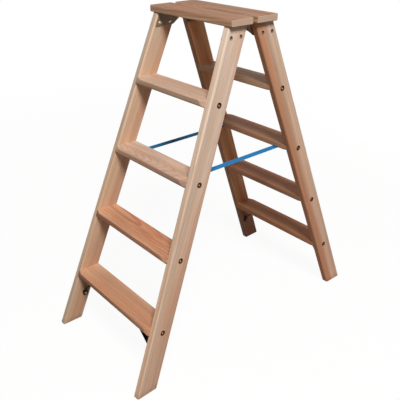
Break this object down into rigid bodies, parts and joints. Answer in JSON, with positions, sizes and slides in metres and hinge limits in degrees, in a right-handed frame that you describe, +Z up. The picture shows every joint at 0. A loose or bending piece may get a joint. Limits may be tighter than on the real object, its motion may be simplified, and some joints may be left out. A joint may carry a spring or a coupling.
{
  "type": "wooden stepladder",
  "caption": "A-shaped wooden stepladder with housed treads on both sides, hinged under its top boards, with webbing straps that stop it from spreading.",
  "frame": {"origin": "on the floor, midway between the four feet", "axes": "+Z up, X across the ladder, the front half on the -Y side and the rear half on the +Y side"},
  "size_m": [0.5198, 1.077, 1.148],
  "materials": {
    "stile_wood": "planed, clear oiled",
    "tread_wood": "planed, clear oiled",
    "board_wood": "planed, clear oiled",
    "dark_steel": "dark satin",
    "bright_steel": "zinc plated",
    "webbing": "woven"
  },
  "bodies": {
    "front_frame": {"front_brace_screws": "bright_steel", "front_hinge_bolts": "bright_steel", "front_hinge_nuts": "bright_steel", "front_left_brace": "dark_steel", "front_left_hinge_plate": "dark_steel", "front_left_stile": "stile_wood", "front_right_brace": "dark_steel", "front_right_hinge_plate": "dark_steel", "front_right_stile": "stile_wood", "front_rod_nuts": "bright_steel", "front_strap_screws": "bright_steel", "front_tie_rod_1": "bright_steel", "front_tie_rod_2": "bright_steel", "front_tie_rod_3": "bright_steel", "front_tie_rod_4": "bright_steel", "front_top_board": "board_wood", "front_tread_1": "tread_wood", "front_tread_2": "tread_wood", "front_tread_3": "tread_wood", "front_tread_4": "tread_wood", "left_hinge_pin": "bright_steel", "left_strap": "webbing", "right_hinge_pin": "bright_steel", "right_strap": "webbing"},
    "rear_frame": {"rear_brace_screws": "bright_steel", "rear_hinge_bolts": "bright_steel", "rear_hinge_nuts": "bright_steel", "rear_left_brace": "dark_steel", "rear_left_hinge_plate": "dark_steel", "rear_left_stile": "stile_wood", "rear_right_brace": "dark_steel", "rear_right_hinge_plate": "dark_steel", "rear_right_stile": "stile_wood", "rear_rod_nuts": "bright_steel", "rear_strap_screws": "bright_steel", "rear_tie_rod_1": "bright_steel", "rear_tie_rod_2": "bright_steel", "rear_tie_rod_3": "bright_steel", "rear_tie_rod_4": "bright_steel", "rear_top_board": "board_wood", "rear_tread_1": "tread_wood", "rear_tread_2": "tread_wood", "rear_tread_3": "tread_wood", "rear_tread_4": "tread_wood"}
  },
  "joints": [
    {"name": "fold", "type": "hinge", "parent": "front_frame", "child": "rear_frame", "pos_m": [0, 0, 1.1167], "axis": [-1, 0, 0], "range_deg": [0, 43.1], "deforming": ["left_strap", "right_strap"]}
  ]
}
